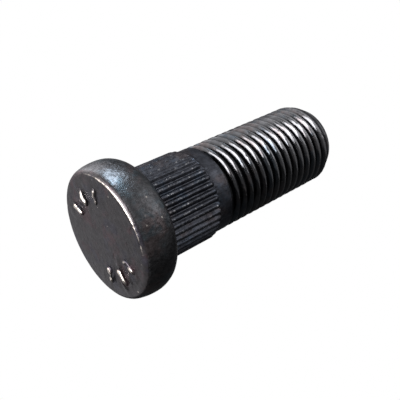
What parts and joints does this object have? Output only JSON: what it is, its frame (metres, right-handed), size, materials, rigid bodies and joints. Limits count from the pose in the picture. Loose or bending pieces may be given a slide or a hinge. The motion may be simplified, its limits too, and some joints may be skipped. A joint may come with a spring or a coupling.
{
  "type": "wheel stud",
  "caption": "Press-in steel wheel stud: a low barrel-edged head, a straight-knurled shoulder, a plain neck and a metric thread with a chamfered tip.",
  "frame": {"origin": "middle of the head's flat end face, which the stud stands on", "axes": "+Z along the shank, from the head to the threaded tip"},
  "size_m": [0.0208, 0.0208, 0.0436],
  "materials": {
    "black_oxide_steel": "satin black oxide over forged and rolled steel"
  },
  "bodies": {
    "root": {"wheel_stud": "black_oxide_steel"}
  },
  "joints": []
}
